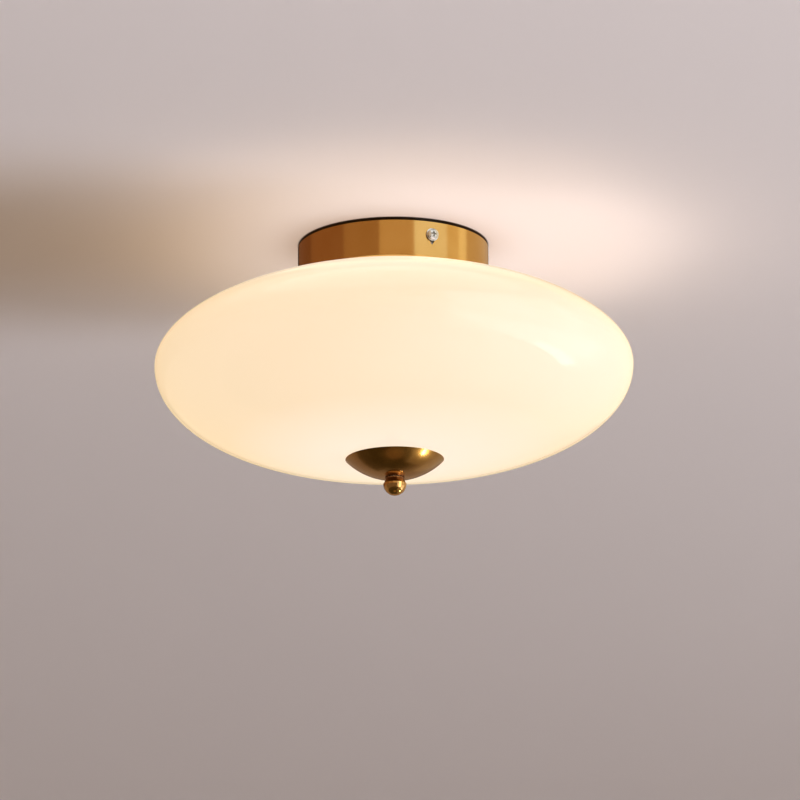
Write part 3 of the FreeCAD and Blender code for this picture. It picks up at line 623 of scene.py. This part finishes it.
def turned_about_z(angle):
    """A turn about Z, in degrees."""
    return Matrix.Rotation(math.radians(angle), 4, "Z")


def make_side_screws():
    """The two side screws, heads outwards."""
    screw = pan_screw(size=4, length=7, head=7, height=2.2, pitch=0.7)
    for side, sign in (("front", -1), ("back", 1)):
        outward = Matrix(((sign, 0, 0), (0, 0, sign), (0, -1, 0))).to_4x4()
        place = at(0, sign * SIDE_SCREW_SEAT, SIDE_SCREW_LEVEL) @ outward
        put_together(f"{side}_side_screw", [(screw, place)], f"{side}_screw",
                     f"side_screw_{side}", "screw_nickel")


def make_earth_screw():
    """The bracket's earth screw, head down."""
    screw = pan_screw(size=4, length=1.5, head=8, height=2.4, pitch=0.7)
    place = at(*EARTH_SCREW_PLACE) @ Matrix.Rotation(math.pi, 4, "X")
    put_together("earth_screw", [(screw, place)], "root", "bracket_earth_screw", "terminal_brass")


def make_holder_screws():
    """Two screws at each lampholder, each left at its own turn."""
    screw = pan_screw(size=3, length=5.3, head=5.6, height=2.0, pitch=0.5)
    turn_step = 17
    shapes = []
    for angle in HOLDER_ANGLES:
        for spot in (HOLDER_CIRCLE - HOLDER_SCREW_OFFSET, HOLDER_CIRCLE + HOLDER_SCREW_OFFSET):
            twist = turned_about_z(turn_step * len(shapes))
            shapes.append((screw, turned_about_z(angle) @ at(spot, 0, PLATE_TOP) @ twist))
    put_together("holder_fixing_screws", shapes, "root", "holder_screws", "bright_zinc")


def make_block_screws():
    """The two screws that hold the terminal block."""
    screw = pan_screw(size=3, length=13.5, head=5.6, height=2.0, pitch=0.5)
    shapes = [(screw, at(BLOCK_MIDDLE, y, BLOCK_TOP)) for y in (-BLOCK_SCREW_OFFSET, BLOCK_SCREW_OFFSET)]
    put_together("block_fixing_screws", shapes, "root", "block_screws", "bright_zinc")


def make_tag_screw():
    """The earth tag's screw, through the canopy's floor."""
    screw = pan_screw(size=4, length=5.8, head=8, height=2.4, pitch=0.7)
    place = at(*TAG_PLACE, FLOOR_TOP + TAG_THICKNESS)
    put_together("earth_tag_screw", [(screw, place)], "root", "tag_screw", "bright_zinc")


def make_clamp_screws():
    """The terminal block's six clamp screws, each left at its own turn."""
    screw = slotted_screw(size=2.6, low=-17.65, high=-12.6)
    shapes = []
    for x in (-TERMINAL_OFFSET, TERMINAL_OFFSET):
        for y in (-TERMINAL_STEP, 0, TERMINAL_STEP):
            shapes.append((screw, at(BLOCK_MIDDLE + x, y, 0) @ turned_about_z(31 * x + 5 * y)))
    put_together("terminal_clamp_screws", shapes, "root", "clamp_screws", "bright_zinc")


def make_rod_nuts():
    """The rod's nuts, in pairs that clamp the canopy's floor and the lamp plate."""
    over_floor = FLOOR_TOP + WASHER
    over_plate = PLATE_TOP + WASHER
    under_plate = PLATE_BOTTOM - WASHER
    canopy_pair = ((over_floor, over_floor + THICK_NUT), (CANOPY_BOTTOM - THIN_NUT, CANOPY_BOTTOM))
    plate_pair = ((over_plate, over_plate + THIN_NUT), (under_plate - THIN_NUT, under_plate))
    for clamped, pair in (("canopy", canopy_pair), ("plate", plate_pair)):
        shapes = [(hexagon_nut(NUT_FLATS, ROD_RADIUS, low, high), at(0, 0, 0)) for low, high in pair]
        put_together(f"{clamped}_clamp_nuts", shapes, "root", f"{clamped}_nuts", "bright_zinc")


def make_tag_nut():
    """The earth tag's nut, under the canopy's floor."""
    nut = hexagon_nut(flats=TAG_NUT_FLATS, bore=2, low=CANOPY_BOTTOM - TAG_NUT, high=CANOPY_BOTTOM)
    put_together("earth_tag_nut", [(nut, at(*TAG_PLACE, 0))], "root", "tag_nut", "bright_zinc")


def make_rod():
    """The hollow rod, threaded from end to end."""
    thread_depth = 0.6
    plain_end = 0.4
    core = ROD_RADIUS - thread_depth
    foot = [(ROD_BORE_RADIUS, ROD_BOTTOM, 0), (core, ROD_BOTTOM, 0)]
    thread = threaded_run(ROD_RADIUS, ROD_BOTTOM + plain_end, ROD_TOP - plain_end, ROD_PITCH, thread_depth)
    head = [(core, ROD_TOP, 0), (ROD_BORE_RADIUS, ROD_TOP, 0)]
    rod = turned(foot + thread + head, 32, ROD_PITCH, closed=True)
    put_together("hollow_threaded_rod", [(rod, at(0, 0, 0))], "root", "threaded_rod", "bright_zinc")


def make_fasteners():
    """Every screw, nut and the rod, with threads, recesses and chamfers, where the CAD has plain ones."""
    make_side_screws()
    make_earth_screw()
    make_holder_screws()
    make_block_screws()
    make_tag_screw()
    make_clamp_screws()
    make_rod_nuts()
    make_tag_nut()
    make_rod()


# Room, camera and light. Lengths are in metres, or in millimetres times MM, and angles are in degrees.

CAMERA_TARGET = Vector((0, 0, -80)) * MM
CAMERA_AZIMUTH = -23.8
CAMERA_ELEVATION = -16.52
CAMERA_DISTANCE = 3.5
CAMERA_ROLL = -0.46
AIM_RIGHT = 3.6 * MM
AIM_DOWN = 19.3 * MM
# The lens and the sensor are in millimetres, as Blender takes them.
LENS = 251.4
SENSOR = 36.0

CEILING_SIZE = 14.0
CEILING_GAP = 1.0 * MM
FLOOR_LEVEL = -2.4
BACKDROP = "#DDD9D5"
# Painted shade on the ceiling, both with soft edges: a dark disc over the canopy and the light's warm
# shadow.
COVER_OUTSIDE = 60.5 * MM
COVER_INSIDE = 59.5 * MM
PAINTED_SHADOW_MIDDLE = Vector((-235, 85, 0)) * MM
PAINTED_SHADOW_OUTSIDE = 240 * MM
PAINTED_SHADOW_INSIDE = 20 * MM
# The room's soft light has one strength up to level, and another for rays that rise by DIM_RISE or more.
ROOM_STRENGTH = 0.74
ROOM_STRENGTH_ABOVE = 0.4
DIM_RISE = 0.25

# Ends of the glowing sheets, as (radius, level), and the level of those that stand for the floor.
WALL_HEAD = (2.6, 2.6)
WALL_MIDDLE = (2.6, -0.05)
WALL_FOOT = (2.6, -2.2)
SHEET_FLOOR = -2.1

# What the metal and the glass mirror: each sheet's azimuths, its two ends, colour and strength.
REFLECTIONS = (
    ("far_left_wall", -195, -140, WALL_MIDDLE, WALL_HEAD, "#7C5238", 1.0),
    ("left_wall", -140, -85, WALL_MIDDLE, WALL_HEAD, "#93674A", 1.0),
    ("near_left_wall", -85, -40, WALL_MIDDLE, WALL_HEAD, "#AB8462", 1.0),
    ("front_wall", -40, 1.5, WALL_MIDDLE, WALL_HEAD, "#D6B794", 1.0),
    ("window_side", 1.5, 44, WALL_MIDDLE, WALL_HEAD, "#FFFFFF", 1.06),
    ("right_wall", 44, 62, WALL_MIDDLE, WALL_HEAD, "#F0DCBA", 1.0),
    ("bright_strip", 62, 75, WALL_MIDDLE, WALL_HEAD, "#FFF6E0", 1.12),
    ("far_right_wall", 75, 125, WALL_MIDDLE, WALL_HEAD, "#D6BE9E", 1.0),
    ("behind_wall", 125, 165, WALL_MIDDLE, WALL_HEAD, "#C8AE8E", 1.0),
    ("dark_wall_behind", 142, 178, (2.5, -0.05), (2.5, 1.5), "#3C3028", 1.0),
    ("room_above", 0, 360, (1.7, 2.6), (0, 2.9), "#F4F2EE", 0.9),
    ("low_window_side", 1.5, 95, WALL_MIDDLE, WALL_FOOT, "#F2E9DC", 0.8),
    ("low_right_wall", 95, 140, WALL_MIDDLE, WALL_FOOT, "#B8A486", 1.0),
    ("low_far_wall", 140, 240, WALL_MIDDLE, WALL_FOOT, "#A08870", 1.0),
    ("low_left_wall", 240, 361.5, WALL_MIDDLE, WALL_FOOT, "#7E6A58", 1.0),
    ("floor_below", 0, 360, (0, SHEET_FLOOR), (0.42, SHEET_FLOOR), "#896C48", 1.0),
    ("floor_round", 0, 360, (0.42, SHEET_FLOOR), (1.4, SHEET_FLOOR), "#4A3E26", 1.0),
    ("floor_further", 60, 172, (1.4, SHEET_FLOOR), (1.85, SHEET_FLOOR), "#6E5E47", 1.0),
    ("floor_far", 60, 172, (1.85, SHEET_FLOOR), (2.6, SHEET_FLOOR), "#94806A", 1.0),
    ("floor_in_shade", 172, 420, (1.4, SHEET_FLOOR), (2.6, SHEET_FLOOR), "#54462E", 1.0),
    ("floor_by_window", 20, 125, (0.8, -2.05), (2.3, -2.05), "#A08C6E", 1.0),
    ("window_foot", 58, 90, (2.38, -1.95), (2.38, -1.5), "#FFF6F4", 3.0),
)
# The bright window between a foot and a head that slant, as (azimuth, low level, high level).
WINDOW = ((2, -0.69, -0.2), (8, -0.96, -0.3), (18, -1.31, -0.45), (30, -1.65, -0.62), (45, -1.9, -0.6),
          (60, -1.96, -0.45), (75, -1.96, -0.3), (88, -1.83, -0.2))
WINDOW_RADIUS = 2.4
WINDOW_COLOUR = "#FFF2F0"
WINDOW_STRENGTH = 1.35

# Rows of small lamps for the light that the glass and the window throw on the ceiling. Each row has its
# azimuths, how many lamps, radius, level, the lamps' depth, how far they lean in, strength and colour.
LAMP_ROWS = (
    ("window_glance", 20, 112, 4, 0.155, -0.043, 0.0504, 7, 0.3, "#FFEFE4"),
    ("near_glance", -75, 20, 4, 0.185, -0.037, 0.0606, 7, 0.1, "#FFE2C4"),
)
# An area lamp of four watts to the square metre is as bright as a surface that glows at a strength of 1.
WATTS_PER_STRENGTH = 4
# Lamps that face the light: azimuth, elevation, distance, width, height, watts, colour, and the nodes that
# a lamp is kept for. Those nodes mirror it, and no node mirrors the lamps that shine on everything.
LAMPS = (
    ("window_lamp", 62, -20, 2.5, 1.1, 1.2, 29, "#EEF4FF", ()),
    ("top_lamp", 200, 62, 2.2, 1.2, 1.2, 9, "#FFF8F0", ()),
    ("glint_lamp", 90, -52, 2.4, 0.34, 0.22, 5.5, "#FFFCE8", ("dish_cap", "ball_finial")),
    ("streak_lamp", 32, 0, 2.3, 0.95, 3.2, 22, "#FFFAF0", ("ball_finial",)),
)


def direction(azimuth, elevation):
    """A unit vector from the light outwards: azimuth 0 is the front (-Y) and 90 is +X."""
    turn = math.radians(azimuth)
    rise = math.radians(elevation)
    return Vector((math.sin(turn) * math.cos(rise), -math.cos(turn) * math.cos(rise), math.sin(rise)))


def facing(place, target):
    """The turn that points an object's -Z from a place to a target, with its Y as near up as it goes."""
    return (target - place).to_track_quat("-Z", "Y")


def take_camera():
    """The camera below the light and to its left, turned up to it, a little off centre and off level."""
    data = bpy.data.cameras.new("camera")
    data.sensor_width = SENSOR
    data.lens = LENS
    made = bpy.data.objects.new("camera", data)
    bpy.context.scene.collection.objects.link(made)
    place = CAMERA_TARGET + direction(CAMERA_AZIMUTH, CAMERA_ELEVATION) * CAMERA_DISTANCE
    view = facing(place, CAMERA_TARGET)
    aim = CAMERA_TARGET + view @ Vector((AIM_RIGHT, -AIM_DOWN, 0))
    roll = Matrix.Rotation(math.radians(CAMERA_ROLL), 3, "Z").to_quaternion()
    made.location = place
    made.rotation_mode = "QUATERNION"
    made.rotation_quaternion = facing(place, aim) @ roll
    bpy.context.scene.camera = made


def stage_faces(name, corners, faces, surface):
    """A sheet of the room from its corners and faces."""
    mesh = bpy.data.meshes.new(name)
    mesh.from_pydata(corners, [], faces)
    mesh.materials.append(surface)
    sheet = bpy.data.objects.new(name, mesh)
    bpy.context.scene.collection.objects.link(sheet)
    return sheet


def painted_ceiling():
    """Matt warm grey paint, finely roller textured, painted shadow by the light, painted shade over the
    canopy.

    It is clear from above, to shadows and to reflections, so that the light can be looked at and lit from
    above, and mirrors the sheets round it. Over the canopy it is clear to soft light too."""
    surface, tree, shader = new_surface("painted_ceiling")
    roller = mottle(tree, 2.5, 3.0)
    place = own_place(tree)
    off_axis = measured(tree, "LENGTH", place)
    # Over the canopy: painted dark shade, for the shade in the gap over its rim, and clear to soft light.
    covered = share_between(tree, off_axis, COVER_OUTSIDE, COVER_INSIDE)
    # A warm painted shadow of the light, soft-edged, on the ceiling beside it.
    off_painted_shadow = measured(tree, "DISTANCE", place, PAINTED_SHADOW_MIDDLE)
    painted_shadow_share = share_between(tree, off_painted_shadow, PAINTED_SHADOW_OUTSIDE, PAINTED_SHADOW_INSIDE, "SMOOTHSTEP")
    paint = mixed(tree, painted_shadow_share, linear("#F2EAE8"), linear("#D9C6B2"))
    set_inputs(tree, shader, {
        "Base Color": mixed(tree, covered, paint, linear("#332014")),
        "Roughness": 0.9,
        "Normal": relief(tree, roller, 0.03, 0.4),
    })
    above = add_node(tree, "ShaderNodeNewGeometry").outputs["Backfacing"]
    path = add_node(tree, "ShaderNodeLightPath").outputs
    unseen = combined(tree, "MAXIMUM", path["Is Shadow Ray"], path["Is Glossy Ray"])
    let_in = combined(tree, "MULTIPLY", covered, path["Is Diffuse Ray"])
    from_inside = combined(tree, "MAXIMUM", unseen, let_in)
    either = combined(tree, "MAXIMUM", above, from_inside)
    clear = add_node(tree, "ShaderNodeBsdfTransparent").outputs[0]
    whole = shader_mix(tree, either, shader.outputs[0], clear)
    tree.links.new(whole, tree.nodes["Material Output"].inputs["Surface"])
    return surface


def pale_floor():
    """A plain pale floor that runs into the pale backdrop. It is clear from below, so that the light can
    be seen from under it."""
    surface, tree, shader = new_surface("pale_floor")
    cloud = mottle(tree, 400, 2.0)
    set_inputs(tree, shader, {
        "Base Color": blend_colours(tree, cloud, "#DDD8D3", "#E3DEDA"),
        "Roughness": 0.8,
    })
    seen = add_node(tree, "ShaderNodeLightPath").outputs["Is Camera Ray"]
    pale = add_node(tree, "ShaderNodeEmission", inputs={"Color": linear(BACKDROP)}).outputs[0]
    front = shader_mix(tree, seen, shader.outputs[0], pale)
    below = add_node(tree, "ShaderNodeNewGeometry").outputs["Backfacing"]
    clear = add_node(tree, "ShaderNodeBsdfTransparent").outputs[0]
    whole = shader_mix(tree, below, front, clear)
    tree.links.new(whole, tree.nodes["Material Output"].inputs["Surface"])
    return surface


def room_light():
    """The soft light of the room, dimmer from above the ceiling, and a plain pale backdrop to look at."""
    world = bpy.data.worlds.new("studio")
    bpy.context.scene.world = world
    world.use_nodes = True
    tree = world.node_tree
    way = add_node(tree, "ShaderNodeTexCoord").outputs["Generated"]
    height = add_node(tree, "ShaderNodeSeparateXYZ", inputs={0: way}).outputs["Z"]
    level = add_node(tree, "ShaderNodeMapRange", inputs={
        "Value": height,
        "From Min": 0.0,
        "From Max": DIM_RISE,
        "To Min": ROOM_STRENGTH,
        "To Max": ROOM_STRENGTH_ABOVE,
    })
    soft = tree.nodes["Background"]
    set_inputs(tree, soft, {"Color": linear("#F2EAE4"), "Strength": level.outputs["Result"]})
    plain = add_node(tree, "ShaderNodeBackground", inputs={"Color": linear(BACKDROP)}).outputs[0]
    seen = add_node(tree, "ShaderNodeLightPath").outputs["Is Camera Ray"]
    whole = shader_mix(tree, seen, soft.outputs[0], plain)
    tree.links.new(whole, tree.nodes["World Output"].inputs["Surface"])


def glowing(name, hex_colour, strength):
    """A plain glowing surface, for what the metal and the glass mirror."""
    surface = bpy.data.materials.new(name)
    surface.use_nodes = True
    tree = surface.node_tree
    tree.nodes.remove(tree.nodes["Principled BSDF"])
    glow = add_node(tree, "ShaderNodeEmission", inputs={"Color": linear(hex_colour), "Strength": strength})
    tree.links.new(glow.outputs[0], tree.nodes["Material Output"].inputs["Surface"])
    return surface


def seen_only_in_gloss(sheet):
    """Keeps a sheet out of the view, the shadows and the soft light: it shows only in reflections."""
    sheet.visible_camera = False
    sheet.visible_diffuse = False
    sheet.visible_shadow = False
    sheet.visible_transmission = False


def sheet_between(name, edges, surface):
    """A sheet from (lower corner, upper corner) pairs that follow each other."""
    corners = [corner for edge in edges for corner in edge]
    faces = [(2 * i, 2 * i + 1, 2 * i + 3, 2 * i + 2) for i in range(len(edges) - 1)]
    return stage_faces(name, corners, faces, surface)


def curved_sheet(name, start, end, first, second, surface):
    """A sheet between two azimuths, from one (radius, level) to another, in faces of about 5 degrees."""
    steps = max(2, round(abs(end - start) / 5))
    edges = []
    for step in range(steps + 1):
        way = direction(start + (end - start) * step / steps, 0)
        edges.append([(way.x * radius, way.y * radius, level) for radius, level in (first, second)])
    return sheet_between(name, edges, surface)


def window_sheet():
    """The bright window, whose foot and head slant away from the camera's side."""
    edges = []
    for azimuth, low, high in WINDOW:
        way = direction(azimuth, 0) * WINDOW_RADIUS
        edges.append([(way.x, way.y, low), (way.x, way.y, high)])
    return sheet_between("window", edges, glowing("window", WINDOW_COLOUR, WINDOW_STRENGTH))


def soft_lamp(name, place, target, width, height, power, hex_colour, mirrored):
    """A rectangular soft lamp at a place that faces a target, and that metal and glass mirror or not."""
    data = bpy.data.lights.new(name, "AREA")
    data.shape = "RECTANGLE"
    data.size = width
    data.size_y = height
    data.energy = power
    data.color = linear(hex_colour)[:3]
    lamp = bpy.data.objects.new(name, data)
    bpy.context.scene.collection.objects.link(lamp)
    lamp.location = place
    lamp.rotation_mode = "QUATERNION"
    lamp.rotation_quaternion = facing(place, target)
    lamp.visible_camera = False
    lamp.visible_glossy = mirrored
    return lamp


def lamps_round(name, start, end, count, radius, level, depth, lean, strength, hex_colour):
    """Small lamps in a row round an arc, facing up and leaning in, that no metal or glass mirrors."""
    step = (end - start) / count
    width = math.radians(step) * radius
    power = WATTS_PER_STRENGTH * strength * width * depth
    for number in range(count):
        azimuth = start + step * (number + 0.5)
        place = direction(azimuth, 0) * radius + Vector((0, 0, level))
        target = place + direction(azimuth, 90 + lean)
        soft_lamp(f"{name}_{number + 1}", place, target, width, depth, power, hex_colour, mirrored=False)


def shine_only_on(lamp, nodes):
    """Keeps a lamp for the named nodes."""
    lit = bpy.data.collections.new(f"{lamp.name}_shines_on")
    for node in nodes:
        lit.objects.link(shown_nodes[node])
    lamp.light_linking.receiver_collection = lit


def level_square(name, level, faces_up, surface):
    """A level square sheet of the ceiling's size, which faces up or down."""
    half = CEILING_SIZE / 2
    corners = [(-half, -half, level), (half, -half, level), (half, half, level), (-half, half, level)]
    return stage_faces(name, corners if faces_up else corners[::-1], [(0, 1, 2, 3)], surface)


def light_ceiling():
    """The soft wash over the ceiling, from a lamp under it that faces straight up."""
    target = direction(-20, 0) * 1.1
    place = target + Vector((0, 0, -0.9))
    soft_lamp("ceiling_wash", place, target, 1.8, 1.2, 4.2, "#FAF9FF", mirrored=False)


def set_up_room():
    """The ceiling, the floor, what the light mirrors, and the lamps."""
    level_square("ceiling", CEILING_GAP, False, painted_ceiling())
    level_square("floor", FLOOR_LEVEL, True, pale_floor())
    for name, start, end, first, second, colour, strength in REFLECTIONS:
        surface = glowing(name, colour, strength)
        seen_only_in_gloss(curved_sheet(name, start, end, first, second, surface))
    seen_only_in_gloss(window_sheet())
    for row in LAMP_ROWS:
        lamps_round(*row)
    for name, azimuth, elevation, distance, width, height, power, colour, kept_for in LAMPS:
        place = CAMERA_TARGET + direction(azimuth, elevation) * distance
        lamp = soft_lamp(name, place, CAMERA_TARGET, width, height, power, colour, mirrored=bool(kept_for))
        if kept_for:
            shine_only_on(lamp, kept_for)
    light_ceiling()
    room_light()


dress_cad_nodes()
make_fasteners()
set_up_room()
take_camera()
bpy.context.scene.view_settings.view_transform = "Standard"
